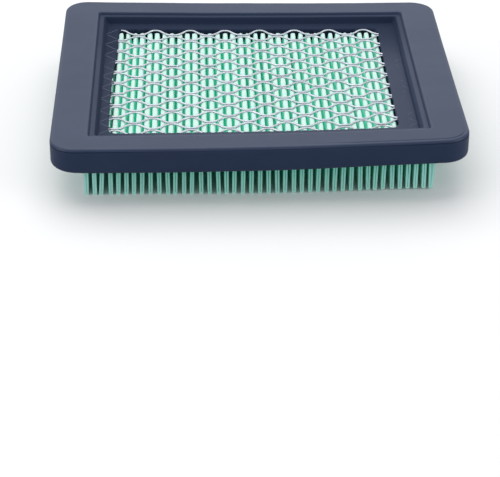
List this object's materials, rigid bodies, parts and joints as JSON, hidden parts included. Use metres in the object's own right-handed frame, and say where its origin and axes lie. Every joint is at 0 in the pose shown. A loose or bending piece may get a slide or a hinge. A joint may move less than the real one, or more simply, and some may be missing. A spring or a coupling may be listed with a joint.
{
  "type": "air filter element",
  "caption": "Flat panel engine air filter: a moulded rubber frame around pleated paper under an expanded metal screen.",
  "frame": {"origin": "centre of the bounding box's bottom face, level with the paper's lower folds", "axes": "+Z from the paper's lower folds towards the screen, +X along the long side, +Y along the folds"},
  "size_m": [0.131, 0.112, 0.0215],
  "materials": {
    "frame": "satin moulded polyurethane, dark blue grey",
    "screen": "bright expanded metal",
    "paper": "resin treated filter paper, mint green",
    "glue": "dark green set glue"
  },
  "bodies": {
    "root": {"frame": "frame", "screen": "screen", "pleated_paper": "paper", "front_glue_lines": "glue", "rear_glue_lines": "glue"}
  },
  "joints": []
}
